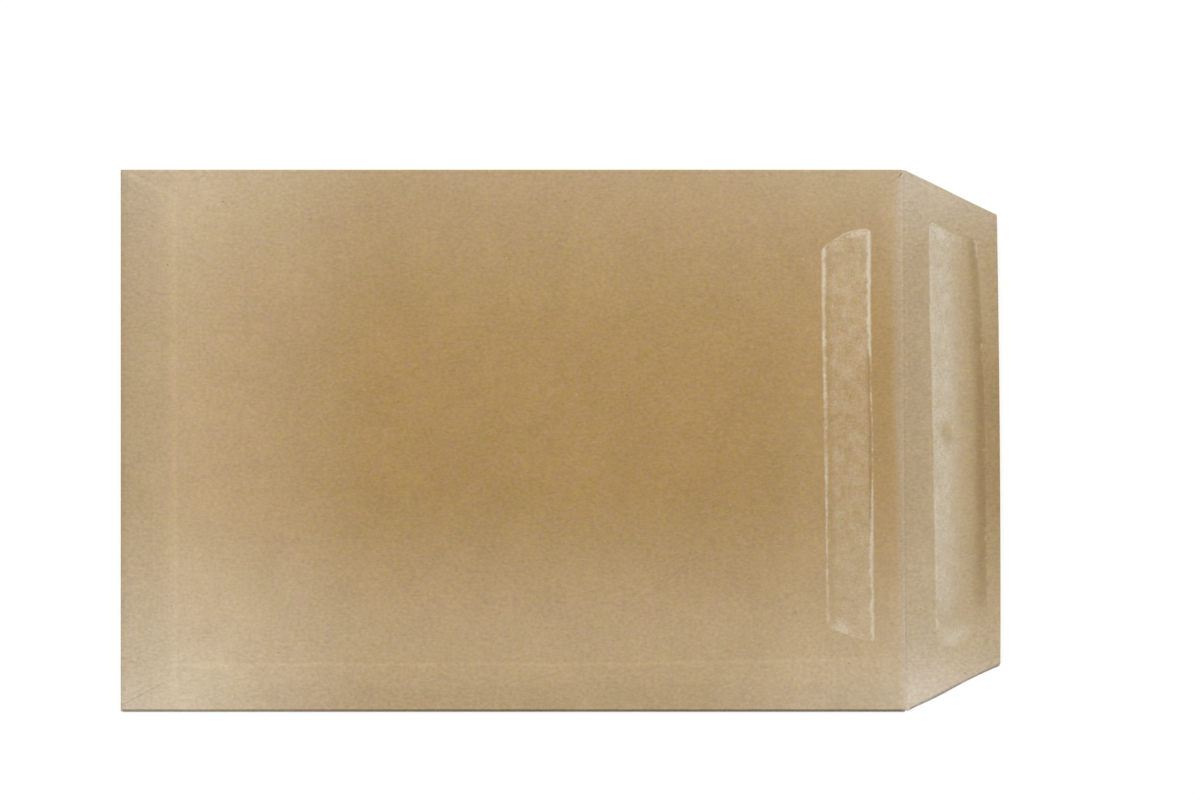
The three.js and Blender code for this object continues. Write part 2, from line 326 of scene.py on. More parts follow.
def back_panel(xs, ys):
    """The back panel, whose last columns are pulled back from the mouth by the throat's cut."""
    x, y = np.meshgrid(xs, ys)
    cut = np.interp(y, THROAT_Y, THROAT_CUT)
    x = x - cut * np.clip((x - MOUTH_SLANT_FROM) / (FOLD_END_X - MOUTH_SLANT_FROM), 0, 1)
    return np.stack([x, y, back_height(x, y) + PAPER / 2], axis=-1)


def side_strip(xs):
    """A flat lap from the seam fold inwards, whose two ends lean in by straight slants."""
    x, share = np.meshgrid(xs, np.linspace(0, 1, 9))
    along = (x - xs[0]) / (xs[-1] - xs[0])
    x = x + share * (STRIP_BOTTOM_SLANT * (1 - along) - STRIP_MOUTH_SLANT * along)
    edge = STRIP_EDGE_Y - np.interp(x, STRIP_DRIFT_X, STRIP_DRIFT)
    y = STRIP_FOLD_Y + (edge - STRIP_FOLD_Y) * share
    return np.stack([x, y, np.full_like(x, STRIP_LOW + PAPER / 2)], axis=-1)


def bottom_lap(ys):
    """A flat lap from the bottom fold inwards, tapered along straight lines, with quarter-circle tips."""
    xs = stations((LAP_FOLD_X, LAP_EDGE_X - LAP_CORNER, 1.6), (LAP_EDGE_X - LAP_CORNER, LAP_EDGE_X, 0.3))
    share, x = np.meshgrid((ys - ys[0]) / (ys[-1] - ys[0]), xs)
    inward = (x - LAP_FOLD_X) / (LAP_EDGE_X - LAP_FOLD_X)
    rounded = corner_cut(x, LAP_EDGE_X, LAP_CORNER)
    low = ys[0] + (LAP_ROOT_LOW_Y + LAP_TAPER_SEAM - ys[0]) * inward + rounded
    high = ys[-1] - (LAP_TAPER_PLAIN + ys[-1] - LAP_ROOT_HIGH_Y) * inward - rounded
    return np.stack([x, low + (high - low) * share, np.full_like(x, LAP_LOW + PAPER / 2)], axis=-1)


def folded_blank():
    """The middle surface of the whole sheet: the address panel and seal flap, with the bottom lap, the side
    strip and the back panel each joined to them by a half-round fold, welded where their edges meet."""
    pocket_xs = stations(
        (LAP_FOLD_X, STRIP_BOTTOM_X, FOLD_START),
        (STRIP_BOTTOM_X, LAP_EDGE_X - 2, 1.5),
        (LAP_EDGE_X - 2, LAP_EDGE_X + 3, 0.36),
        (LAP_EDGE_X + 3, LAP_EDGE_X + SETTLE_REACH, 1.6),
        (LAP_EDGE_X + SETTLE_REACH, 150, 2.4),
        (150, FOLD_END_X, 1.2),
    )
    front_xs = stations(
        (FOLD_END_X, SCORE_X + SCORE_HALF_WIDTH, 0.2),
        (SCORE_X + SCORE_HALF_WIDTH, FLAP_TIP_X - FLAP_ROUNDING, 1.1),
        (FLAP_TIP_X - FLAP_ROUNDING, FLAP_TIP_X, 0.15),
    )
    front_ys = stations(
        (STRIP_FOLD_Y, STRIP_FOLD_Y + FOLD_START, FOLD_START),
        (STRIP_FOLD_Y + FOLD_START, LAP_ROOT_LOW_Y, 1.2),
        (LAP_ROOT_LOW_Y, LAP_ROOT_HIGH_Y, 4),
        (LAP_ROOT_HIGH_Y, BACK_PLAIN_Y - FOLD_START, 0.6),
        (BACK_PLAIN_Y - FOLD_START, BACK_PLAIN_Y, FOLD_START),
    )
    back_ys = stations(
        (SEAM_Y + SEAM_INSET, STRIP_EDGE_Y - 3, 2),
        (STRIP_EDGE_Y - 3, STRIP_EDGE_Y + 2, 0.33),
        (STRIP_EDGE_Y + 2, STRIP_EDGE_Y + SETTLE_REACH, 1.6),
        (STRIP_EDGE_Y + SETTLE_REACH, BACK_PLAIN_Y - 4, 2.4),
        (BACK_PLAIN_Y - 4, BACK_PLAIN_Y, 0.4),
    )
    middle = PAPER / 2
    front = address_panel_and_seal_flap(np.concatenate([pocket_xs, front_xs[1:]]), front_ys)
    plain_corner = [[BOTTOM_X + PANEL_INSET, BACK_PLAIN_Y, middle]]
    plain_edge = np.concatenate([plain_corner, front[-1, : len(pocket_xs)]])
    seam_edge = front[0, 1 : len(pocket_xs)]
    bottom_edge = front[1:-1, 0]
    regions = (
        (front, True),
        (half_round(plain_edge, PLAIN_RADIUS, PLAIN_RADIUS - middle, 1, 1), True),
        (back_panel(np.concatenate([[BOTTOM_X + PANEL_INSET], pocket_xs]), back_ys), False),
        (half_round(seam_edge, SEAM_RADIUS, SEAM_RADIUS - middle, 1, -1), False),
        (side_strip(pocket_xs[1:]), False),
        (half_round(bottom_edge, LAP_RADIUS, LAP_RADIUS - middle, 0, -1), True),
        (bottom_lap(front_ys[1:-1]), True),
    )
    first = np.cumsum([0] + [points[..., 0].size for points, _ in regions])
    quads = np.concatenate([
        grid(*points.shape[:2], turned) + start for (points, turned), start in zip(regions, first)
    ])
    points = np.concatenate([points.reshape(-1, 3) for points, _ in regions])
    return weld(points, quads)


def weld(points, quads, distance=1e-3):
    """One vertex for all the points that round to the same multiple of the distance."""
    places = np.round(points / distance).astype(np.int64)
    _, kept, number = np.unique(places, axis=0, return_index=True, return_inverse=True)
    return points[kept], number.ravel()[quads]


def closed(above, below, quads):
    """The faces between two copies of a surface, joined by a rim along every edge that only one quad has, and
    the side that each face is on: 0 above, 1 below and 2 on the rim."""
    edges = np.concatenate([quads[:, [k, (k + 1) % 4]] for k in range(4)])
    _, place, count = np.unique(np.sort(edges, axis=1), axis=0, return_index=True, return_counts=True)
    start, end = edges[place[count == 1]].T
    shift = len(above)
    rim = np.stack([end, start, start + shift, end + shift], axis=1)
    faces = np.concatenate([quads, quads[:, ::-1] + shift, rim])
    side = np.repeat([0, 1, 2], [len(quads), len(quads), len(rim)])
    return np.concatenate([above, below]), faces, side


def shell(points, quads, thickness):
    """Two faces half a thickness either side of a surface along its vertex normals, which are the sums of the
    normals of the faces around each vertex."""
    corners = points[quads]
    face_normals = np.cross(corners[:, 2] - corners[:, 0], corners[:, 3] - corners[:, 1])
    normals = np.zeros_like(points)
    np.add.at(normals, quads.ravel(), np.repeat(face_normals, 4, axis=0))
    normals *= thickness / 2 / np.linalg.norm(normals, axis=1, keepdims=True)
    return closed(points + normals, points - normals, quads)


def make_piece(name, points, faces, materials, sides=None, values=None):
    """A mesh object from arrays of points in millimetres and faces, smooth but for its sharp corners."""
    mesh = bpy.data.meshes.new(name)
    mesh.from_pydata((points * MM).tolist(), [], faces.tolist())
    for material in materials:
        mesh.materials.append(material)
    if sides is not None:
        mesh.polygons.foreach_set("material_index", sides.astype(np.int32))
    for key, value in (values or {}).items():
        layer = mesh.attributes.new(key, "FLOAT", "POINT")
        layer.data.foreach_set("value", np.asarray(value, np.float32))
    mesh.shade_smooth()
    mesh.set_sharp_from_angle(angle=SHARP)
    mesh.update()
    piece = bpy.data.objects.new(name, mesh)
    bpy.context.scene.collection.objects.link(piece)
    return piece


def throat_x(y):
    """Where the back panel's cut edge lies along x, across the mouth."""
    return FOLD_END_X - np.interp(y, THROAT_Y, THROAT_CUT)


def steep(value, start, end):
    """The square of the smoothstep."""
    return smoothstep(value, start, end) ** 2


def parabola(value, start, end):
    """0 before start and 1 after end, and the square of the share in between."""
    return np.clip((value - start) / (end - start), 0, 1) ** 2


# A stroke of colour on the paper is a strength, then a fade along x and a fade along y. A fade is a function
# and its places: from nothing to full, a bell's middle and width, or the four places of a band.
EVEN = ()
BOTTOM_BAND = (bell, -118, 25)
TOWARDS_MOUTH = (smoothstep, 60, SCORE_X)
PLAIN_CORNER = (steep, 60, PLAIN_Y)
SEAM_CORNER = (steep, -60, SEAM_Y)
MOUTH_ENDS = (smoothstep, 151, 156)
MIDDLE = (bell, 5, 70)
BESIDE_GUM = ((smoothstep, 105, 125), (bell, -25, 50))
FLAP_ROOT = (smoothstep, SCORE_X + 22, SCORE_X + 6)
MOUTH_LIGHT_BAND = (band, FOLD_END_X - 12, FOLD_END_X - 5, FOLD_END_X - 1, SCORE_X + 0.8)
LOWER_SCORE = (smoothstep, 80, 20)
SEAM_FOLD = (smoothstep, SEAM_Y + 1.0, SEAM_Y + 0.5)

# Painted haze, a glare that lightens the paper most towards its edges: how pale the panels are, and how pale
# the flap is
PANEL_PAINTED_HAZE = (
    (0.14, (smoothstep, -48, -135), EVEN),
    (-0.035, BOTTOM_BAND, EVEN),
    (0.07, (smoothstep, -148, -166), (smoothstep, -92, -114)),
    (0.08, (smoothstep, -60, -150), SEAM_CORNER),
    (0.12, EVEN, (parabola, 17, PLAIN_Y)),
    (0.125, EVEN, (smoothstep, -15, -90)),
    (0.02, TOWARDS_MOUTH, EVEN),
    (0.04, TOWARDS_MOUTH, PLAIN_CORNER),
    (0.11, TOWARDS_MOUTH, SEAM_CORNER),
    (0.018, MOUTH_ENDS, (smoothstep, 50, 75)),
    (0.018, MOUTH_ENDS, (smoothstep, -50, -75)),
    (0.02, *BESIDE_GUM),
)
FLAP_PAINTED_HAZE = (
    (0.22, EVEN, PLAIN_CORNER),
    (0.24, EVEN, SEAM_CORNER),
    (0.04, EVEN, (smoothstep, -15, -70)),
    (0.05, FLAP_ROOT, EVEN),
    (-0.05, FLAP_ROOT, PLAIN_CORNER),
)

# How much browner the paper is: in a band between the back gum and the mouth, on the flap, where the strong
# band at its tip is painted shade of the curled tip, and inside the mouth
PANEL_BROWNING = ((0.14, (band, 149, 152, 156, 160), MIDDLE),)
FLAP_BROWNING_AND_SHADE = (
    (0.46, (smoothstep, 193, 197), (band, -80, -18, 22, 62)),
    (0.06, (smoothstep, SCORE_X + 14, SCORE_X + 3), MIDDLE),
)
MOUTH_BROWNING = ((0.3, (smoothstep, SCORE_X + 0.5, FOLD_END_X - 4), EVEN),)

# The outer face's tone: brighter in the bottom's band and by the gum, painted light past the bottom lap,
# painted shade towards the bottom fold, along the plain fold's pressed line and on its rounded edge, and
# darker along the seam side away from the bottom corner
OUTER_TONE = (
    (0.6, BOTTOM_BAND, EVEN),
    (0.6, *BESIDE_GUM),
    (0.6, (band, LAP_EDGE_X - 1, LAP_EDGE_X + 1, LAP_EDGE_X + 6, LAP_EDGE_X + 40), EVEN),
    (-1.0, (smoothstep, BOTTOM_X + 22, BOTTOM_X + 3), EVEN),
    (-0.3, EVEN, (bell, PLAIN_Y - 1.4, 0.7)),
    (-7, EVEN, (smoothstep, PLAIN_Y - 0.6, PLAIN_Y)),
    (-1.1, (smoothstep, -145, -120), (smoothstep, -98, -108)),
)

# The inner face's tone: painted light over the mouth against its shade, paler along the score, painted light
# and shade that even out the shade of the score's lower half, and painted shade on the seam fold
INNER_TONE = (
    (0.7, MOUTH_LIGHT_BAND, EVEN),
    (0.9, MOUTH_LIGHT_BAND, (bell, 20, 70)),
    (-0.5, MOUTH_LIGHT_BAND, (smoothstep, -20, -60)),
    (0.4, (bell, SCORE_X - 0.9, 1.0), (smoothstep, -70, 70)),
    (0.5, (bell, SCORE_X - 0.6, 0.55), LOWER_SCORE),
    (-0.35, (bell, SCORE_X + 0.7, 0.55), LOWER_SCORE),
    (-3, (smoothstep, FOLD_END_X, FOLD_END_X - 1), SEAM_FOLD),
    (-5, (band, -150, 0, FOLD_END_X - 1, FOLD_END_X), SEAM_FOLD),
)

# Strengths and half widths of what the tables can't say
THROAT_PALE = 0.05
THROAT_PALE_WIDTH = 1.8
# The lap and strip strengths are painted highlights on the ridges that the laps press up, with painted shade
# beside the strip's
LAP_HIGHLIGHT = 1.3
LAP_HIGHLIGHT_BEFORE = 2.4
LAP_HIGHLIGHT_PAST = 0.9
STRIP_HIGHLIGHT_AND_SHADE = 0.6
BOTTOM_SHADE = 3.2
BOTTOM_SHADE_REACH = 1.1
DENT_SHADE = 4
CHAMFER_SHADE = 7


def strokes(table, x, y):
    """The sum of a table's strokes, each of them its strength times its fade along x and its fade along y."""
    total = np.zeros(np.broadcast(x, y).shape)
    for strength, along_x, along_y in table:
        stroke = np.full_like(total, strength)
        for value, fade in ((x, along_x), (y, along_y)):
            if fade:
                stroke *= fade[0](value, *fade[1:])
        total += stroke
    return total


def painted_haze(x, y):
    """The painted haze, how pale the paper is: the panels' strokes with a smoothstep up to the mouth's edge,
    or the flap's.
    """
    throat = throat_x(y)
    panel = strokes(PANEL_PAINTED_HAZE, x, y) + THROAT_PALE * smoothstep(x, throat - THROAT_PALE_WIDTH, throat)
    return np.where(x > FOLD_END_X, strokes(FLAP_PAINTED_HAZE, x, y), panel)


def browning_and_painted_shade(x, y, outer):
    """How much browner the paper is, with the painted shade at the flap's tip: the panels' or the flap's
    strokes, and the mouth's inside.
    """
    deep_brown = np.where(x > FOLD_END_X, strokes(FLAP_BROWNING_AND_SHADE, x, y), strokes(PANEL_BROWNING, x, y))
    return deep_brown + np.where(outer, 0, strokes(MOUTH_BROWNING, x, y))


def outer_tone(x, y):
    """The outer face's tone: its strokes, painted highlights along the two ridges that the laps press up,
    with painted shade beside the strip's, painted shade falling off as an exponential from the bottom fold,
    and painted shade in the dents."""
    past_lap = x - LAP_EDGE_X
    past_strip = past_strip_edge(x, y)
    within = band(y, STRIP_EDGE_Y - 14, STRIP_EDGE_Y - 8, PLAIN_Y - 12, PLAIN_Y - 9)
    lap = within * bell(past_lap, 0, np.where(past_lap < 0, LAP_HIGHLIGHT_BEFORE, LAP_HIGHLIGHT_PAST))
    strip = bell(past_strip, 0.4, 0.8) - 0.35 * bell(past_strip, 2.2, 0.6)
    strip *= band(x, LAP_EDGE_X - 14, LAP_EDGE_X, 120, 150)
    bottom = np.exp((BOTTOM_X - x) / BOTTOM_SHADE_REACH)
    dents = np.minimum(waviness(x, y), 0) * free_area(x, y)
    lit_and_shaded = LAP_HIGHLIGHT * lap + STRIP_HIGHLIGHT_AND_SHADE * strip - BOTTOM_SHADE * bottom + DENT_SHADE * dents
    return lit_and_shaded + strokes(OUTER_TONE, x, y)


def inner_tone(x, y):
    """The inner face's tone: its strokes, painted light right beside the back panel's edge against the shade
    it casts, and painted shade in a dark line along the flap's slanted seam side."""
    throat = throat_x(y)
    painted_lift = np.interp(y, THROAT_LIGHT_Y, THROAT_LIGHT) * (1 - smoothstep(x, throat + 0.3, throat + 2.2))
    from_edge = y - SEAM_Y - PANEL_INSET - FLAP_TAPER_SEAM * along_flap(x)
    chamfer = (1 - smoothstep(from_edge, 0.3, 1.0)) * smoothstep(x, SCORE_X, SCORE_X + 1)
    return painted_lift - CHAMFER_SHADE * chamfer + strokes(INNER_TONE, x, y)


class Bench:
    """Adds nodes to one tree and links them."""

    def __init__(self, tree):
        self.tree = tree

    def add(self, kind, inputs=None, **settings):
        """A node with its settings made, and its inputs, by name or number, linked or filled in."""
        node = self.tree.nodes.new(kind)
        for key, value in settings.items():
            setattr(node, key, value)
        for key, value in (inputs or {}).items():
            self.feed(node.inputs[key], value)
        return node

    def feed(self, socket, value):
        """Links a socket to another, or fills it in."""
        if isinstance(value, bpy.types.NodeSocket):
            self.tree.links.new(value, socket)
        else:
            socket.default_value = value

    def math(self, operation, *values, clamp=False):
        """A sum, product or other operation on numbers."""
        node = self.add("ShaderNodeMath", dict(enumerate(values)), operation=operation, use_clamp=clamp)
        return node.outputs[0]

    def vector(self, operation, *values, **inputs):
        """An operation on vectors or colours, channel by channel."""
        node = self.add("ShaderNodeVectorMath", dict(enumerate(values)) | inputs, operation=operation)
        return node.outputs["Value" if operation == "DISTANCE" else "Vector"]

    def span(self, value, low, high, to_low=0.0, to_high=1.0, curve="LINEAR"):
        """value carried from low to high onto to_low to to_high."""
        inputs = {0: value, 1: low, 2: high, 3: to_low, 4: to_high}
        return self.add("ShaderNodeMapRange", inputs, interpolation_type=curve).outputs[0]

    def fall(self, value, start, end):
        """1 before start and 0 after end, joined smoothly."""
        return self.span(value, start, end, 1.0, 0.0, "SMOOTHSTEP")

    def mix(self, factor, first, second):
        """Two colours mixed by a factor."""
        return self.add("ShaderNodeMix", {0: factor, 6: first, 7: second}, data_type="RGBA").outputs[2]

    def noise(self, vector, size, detail=2.0, roughness=0.5, output="Fac"):
        """Soft noise whose patches are about size metres across, from 0 to 1."""
        inputs = {"Vector": vector, "Scale": 1 / size, "Detail": detail, "Roughness": roughness}
        return self.add("ShaderNodeTexNoise", inputs).outputs[output]

    def line(self, start, end, width):
        """1 on a straight line in plan between two places, falling smoothly to 0 a width away from it."""
        run = np.subtract(end, start)
        length = float(np.hypot(*run))
        turn = math.atan2(run[1], run[0])
        places = {"Vector": self.place(), "Location": (*start, 0), "Rotation": (0, 0, turn)}
        turned = self.add("ShaderNodeMapping", places, vector_type="TEXTURE")
        along, across, _ = self.add("ShaderNodeSeparateXYZ", {0: turned.outputs[0]}).outputs
        near = self.fall(self.math("ABSOLUTE", across), 0.0, width)
        begun = self.span(along, -width, width, curve="SMOOTHSTEP")
        ended = self.fall(along, length - width, length + width)
        return self.math("MULTIPLY", near, self.math("MULTIPLY", begun, ended))

    def knot(self, x, y, reach):
        """1 at a place in plan, falling smoothly to 0 at its reach, on whatever face is there."""
        flat = self.vector("MULTIPLY", self.place(), (1, 1, 0))
        return self.fall(self.vector("DISTANCE", flat, (x, y, 0)), 0.0, reach)

    def place(self):
        """Object coordinates, from one node that the whole tree shares."""
        found = next((node for node in self.tree.nodes if node.bl_idname == "ShaderNodeTexCoord"), None)
        return (found or self.add("ShaderNodeTexCoord")).outputs["Object"]

    def attribute(self, name):
        """One of the piece's own values."""
        return self.add("ShaderNodeAttribute", attribute_name=name).outputs["Fac"]

    def relief(self, shader, height, strength, distance):
        """Bumps on a shader, by a height."""
        bump = self.add("ShaderNodeBump", {"Height": height, "Strength": strength, "Distance": distance})
        self.feed(shader.inputs["Normal"], bump.outputs[0])


def new_material(name):
    """A material, its bench and its shader."""
    material = bpy.data.materials.new(name)
    material.use_nodes = True
    return material, Bench(material.node_tree), material.node_tree.nodes["Principled BSDF"]


def lay_group(bench, group, **inputs):
    """The outputs of a node group laid over the object's places, with its other inputs by name."""
    placed = bench.add("ShaderNodeGroup", node_tree=group)
    for key, value in {"Vector": bench.place(), **inputs}.items():
        bench.feed(placed.inputs[key], value)
    return placed.outputs


def node_group(name, inputs, outputs):
    """A shader node group with named sockets: its bench, its input sockets and its output node."""
    group = bpy.data.node_groups.new(name, "ShaderNodeTree")
    for in_out, sockets in (("INPUT", inputs), ("OUTPUT", outputs)):
        for key, kind in sockets.items():
            group.interface.new_socket(key, in_out=in_out, socket_type="NodeSocket" + kind)
    bench = Bench(group)
    return group, bench, bench.add("NodeGroupInput").outputs, bench.add("NodeGroupOutput").inputs


# The pulp's patches: how large they are, in metres, and how strongly the two largest shade it
CLOUD_SIZE = 0.022
CLOUD_SHADE = 0.16
BLOTCH_SIZE = 0.006
BLOTCH_SHADE = 0.08
GRAIN_SIZE = 0.0016
FIBRE_SIZE = 0.0009
FIBRE_STRETCH = (0.5, 1, 1)
FIBRE_SHARE = 0.4

# The dye's patches, and the multiples of red, green and blue that it drifts between, from olive to mauve
DYE_SIZE = 0.0034
TINT_RANGES = ((0.92, 1.08), (1.05, 0.95), (0.35, 1.65))

# Flecks: the size of their cells in metres, the share of cells that have none, and their reach in cells
FLECKS = {"Dark Flecks": (0.024, 0.86, 0.018), "Pale Flecks": (0.031, 0.82, 0.02)}
DARK_FLECK = (0.12, 0.07, 0.03, 1)
DARK_FLECK_SHARE = 0.55
PALE_FLECK = (0.72, 0.62, 0.46, 1)
PALE_FLECK_SHARE = 0.2

# How much one unit of the tone and painted light changes the paper's tone, and the colour of its cut edge
TONE_STEP = 0.06
CUT_EDGE = (0.5, 0.38, 0.23)

# A line is drawn between two places in metres, as a shade a width to each side, with a strength. The two long
# slanted lines are painted highlight and painted shade on the bottom lap's slanted edges pressed through the
# back panel; the short one is a pale mark at the bottom corner and the last a faint dark line beside the
# bottom fold
LAP_LIGHT_AND_MARK_LINES = (
    ((-0.1648, 0.1134), (-0.1428, 0.1024), 0.0017, 0.075),
    ((-0.1652, -0.1115), (-0.1470, -0.1020), 0.0006, -0.16),
    ((-0.1645, -0.1136), (-0.1625, -0.1126), 0.0012, 0.08),
    ((-0.1629, 0.1130), (-0.1629, 0.0860), 0.0006, -0.05),
)

# Single knots of fibre on the outer face, in metres: x, y, reach and shade
PAPER_KNOTS = (
    (0.0436, 0.0843, 0.0009, -0.12),
    (-0.0856, 0.0931, 0.0011, -0.14),
    (-0.1522, 0.0902, 0.0010, -0.14),
    (-0.1063, -0.0572, 0.0009, -0.12),
    (-0.0785, -0.0850, 0.0012, -0.16),
    (0.0744, -0.1073, 0.0009, -0.12),
    (-0.0107, -0.0151, 0.0009, 0.14),
    (-0.0612, -0.0530, 0.0008, 0.14),
    (-0.0621, -0.0757, 0.0008, 0.12),
)


def kraft_pulp(name):
    """Pulp of unbleached kraft: clouds, grain and fibres as a tone, a drift of hue, flecks and a height."""
    outputs = {"Tone": "Float", "Tint": "Color", **{key: "Float" for key in FLECKS}, "Height": "Float"}
    group, bench, given, put = node_group(name, {"Vector": "Vector", "Grain": "Float"}, outputs)
    place = given["Vector"]
    stretched = bench.add("ShaderNodeMapping", {"Vector": place, "Scale": FIBRE_STRETCH}).outputs[0]
    grain = bench.noise(place, GRAIN_SIZE, 3, 0.6)
    fibre = bench.noise(stretched, FIBRE_SIZE, 2, 0.7)
    fine = bench.math("SUBTRACT", bench.math("ADD", grain, fibre), 1.0)
    tone = bench.math("MULTIPLY_ADD", fine, given["Grain"], 1.0)
    patches = ((CLOUD_SIZE, CLOUD_SHADE, 3, 0.55), (BLOTCH_SIZE, BLOTCH_SHADE, 2, 0.5))
    for size, shade, detail, roughness in patches:
        patch = bench.math("SUBTRACT", bench.noise(place, size, detail, roughness), 0.5)
        tone = bench.math("MULTIPLY_ADD", patch, shade, tone)
    bench.feed(put["Tone"], tone)

    dye = bench.noise(place, DYE_SIZE, 3, 0.62, "Color")
    red, _, blue = bench.add("ShaderNodeSeparateColor", {0: dye}).outputs
    mean = bench.math("MULTIPLY", bench.math("ADD", red, blue), 0.5)
    tint = bench.add("ShaderNodeCombineColor")
    for channel, source, (low, high) in zip(tint.inputs, (red, red, mean), TINT_RANGES):
        drift = bench.add("ShaderNodeMapRange", {0: source, 3: low, 4: high}, clamp=False)
        bench.feed(channel, drift.outputs[0])
    bench.feed(put["Tint"], tint.outputs[0])

    for key, (size, missing, reach) in FLECKS.items():
        scale = {"Vector": place, "Scale": 1 / size}
        cells = bench.add("ShaderNodeTexVoronoi", scale, voronoi_dimensions="2D")
        drawn = bench.add("ShaderNodeSeparateColor", {0: cells.outputs["Color"]}).outputs[0]
        near = bench.fall(cells.outputs["Distance"], reach * 0.4, reach)
        bench.feed(put[key], bench.math("MULTIPLY", near, bench.math("GREATER_THAN", drawn, missing)))
    height = bench.math("MULTIPLY_ADD", fibre, FIBRE_SHARE, bench.math("MULTIPLY", grain, 1 - FIBRE_SHARE))
    bench.feed(put["Height"], height)
    return group


def paper_material(name, pulp, grain, bump, roughness):
    """A kraft paper material with its pulp placed: its bench, its shader and the pulp's outputs."""
    material, bench, shader = new_material(name)
    fibres = lay_group(bench, pulp, Grain=grain)
    height = fibres["Height"]
    bench.feed(shader.inputs["Roughness"], bench.span(height, 0.3, 0.7, roughness, roughness - 0.16))
    bench.relief(shader, height, bump, 0.00006)
    shader.inputs["Specular IOR Level"].default_value = 0.2
    return material, bench, shader, fibres


def paper_face_material(name, pulp, base, pale, deep_brown, grain, tint, lines=(), knots=()):
    """One face of the sheet: its dye drifts, it pales with the painted haze, browns, and its tone takes the
    painted light and shade, the lines and the knots.
    """
    material, bench, shader, fibres = paper_material(name, pulp, grain, 0.4, 0.94)
    dyed = bench.vector("MULTIPLY", (*base,), bench.mix(tint, (1, 1, 1, 1), fibres["Tint"]))
    colour = bench.mix(bench.attribute("painted_haze"), dyed, (*pale, 1))
    colour = bench.mix(bench.attribute("browning_and_painted_shade"), colour, (*deep_brown, 1))
    tone = bench.math("MULTIPLY_ADD", bench.attribute("tone_and_painted_light"), TONE_STEP, fibres["Tone"])
    for start, end, width, strength in lines:
        tone = bench.math("MULTIPLY_ADD", bench.line(start, end, width), strength, tone)
    for x, y, reach, strength in knots:
        tone = bench.math("MULTIPLY_ADD", bench.knot(x, y, reach), strength, tone)
    toned = bench.vector("SCALE", colour, Scale=tone)
    dark = bench.math("MULTIPLY", fibres["Dark Flecks"], DARK_FLECK_SHARE)
    light = bench.math("MULTIPLY", fibres["Pale Flecks"], PALE_FLECK_SHARE)
    bench.feed(shader.inputs["Base Color"], bench.mix(light, bench.mix(dark, toned, DARK_FLECK), PALE_FLECK))
    shader.inputs["Sheen Weight"].default_value = 0.04
    shader.inputs["Sheen Roughness"].default_value = 0.6
    return material


def cut_edge_material(pulp):
    """The cut edge of the sheet, where the torn fibres are paler than either face."""
    material, bench, shader, fibres = paper_material("kraft cut edge", pulp, 0.3, 0.3, 0.98)
    dyed = bench.vector("MULTIPLY", CUT_EDGE, fibres["Tint"])
    bench.feed(shader.inputs["Base Color"], bench.vector("SCALE", dyed, Scale=fibres["Tone"]))
    return material


# Each gum strip is measured along its two long edges: y, then the x of the edge nearer the pocket's bottom
# and of the other. Its two ends have the share across, then the y of the seam end and of the plain end. Its
# two beads have y, width and strength, and the beads on its seam end and plain end have only a strength.
BACK_GUM = {
    "edge_y": (-86, -67, -42, -12, 17, 46, 65, 80, 90),
    "left_x": (131.3, 131.45, 131.1, 130.4, 129.75, 129.4, 129.25, 129.2, 129.2),
    "right_x": (152.35, 151.95, 151.45, 151.25, 150.6, 150.3, 150.4, 150.5, 150.5),
    "end_u": (0, 0.04, 0.12, 0.47, 0.75, 0.88, 0.96, 1),
    "seam_y": (-76.8, -78.2, -79.4, -82.4, -84.2, -84.8, -84.9, -84.0),
    "plain_y": (79.2, 80.9, 82.8, 87.4, 89.0, 89.2, 88.9, 87.6),
    "left_bead": (
        (-78, 1.3, 0.55), (-62, 1.2, 0.6), (-45, 1.0, 0.6), (-25, 1.0, 0.8), (-15, 1.5, 0.8), (5, 1.6, 0.6),
        (30, 1.4, 0.8), (60, 1.7, 0.8), (84, 2.0, 0.9),
    ),
    "right_bead": (
        (-84, 2.1, 1.0), (-68, 2.0, 1.0), (-64, 1.3, 0.6), (-58, 1.6, 0.9), (-54, 1.9, 1.0), (-34, 1.6, 1.0),
        (-29, 1.3, 1.0), (-21, 1.1, 0.85), (-15, 0.7, 0.4), (32, 0.8, 0.45), (38, 1.6, 0.9), (60, 1.9, 1.0),
        (87, 1.9, 1.0),
    ),
    "end_bead": (0.2, 0.8),
    "seed": 11,
}
FLAP_GUM = {
    "edge_y": (-88, -67, -34, -4, 25, 50, 70, 84, 93),
    "left_x": (177.5, 177.4, 177.0, 176.5, 175.8, 175.1, 174.9, 174.8, 174.8),
    "right_x": (199.6, 199.5, 199.3, 198.9, 198.2, 197.4, 196.3, 195.3, 194.7),
    "end_u": (0, 0.05, 0.14, 0.3, 0.6, 0.86, 0.95, 1),
    "seam_y": (-77.5, -84.5, -86.8, -87.6, -85.6, -79.5, -76.8, -75.0),
    "plain_y": (90.4, 91.7, 91.4, 89.8, 87.3, 85.6, 84.8, 84.0),
    "left_bead": (
        (-84, 1.1, 0.4), (-80, 0.8, 0), (-78, 1.7, 0.9), (-74, 1.0, 0.5), (-60, 1.1, 0.8), (-34, 1.2, 0.95),
        (-20, 1.3, 0.7), (0, 1.5, 0.5), (16, 1.7, 0.8), (24, 1.9, 1.0), (32, 1.6, 0.8), (42, 1.4, 0.7),
        (52, 1.2, 0.65), (60, 1.5, 1.0), (68, 1.4, 0.9), (76, 1.2, 0.6), (90, 1.2, 0.6),
    ),
    "right_bead": ((-76, 0.6, -1), (76, 0.7, -1), (79, 1.1, 0.9), (84, 1.2, 1.0)),
    "end_bead": (0.1, 0.35),
    "seed": 23,
}
GUM_SINK = 0.03
GUM_FILM = 0.03
GUM_BEAD = 0.12
GUM_RIM = 0.35
END_BEAD_WIDTH = 0.4
END_BEAD_INSET = 0.45


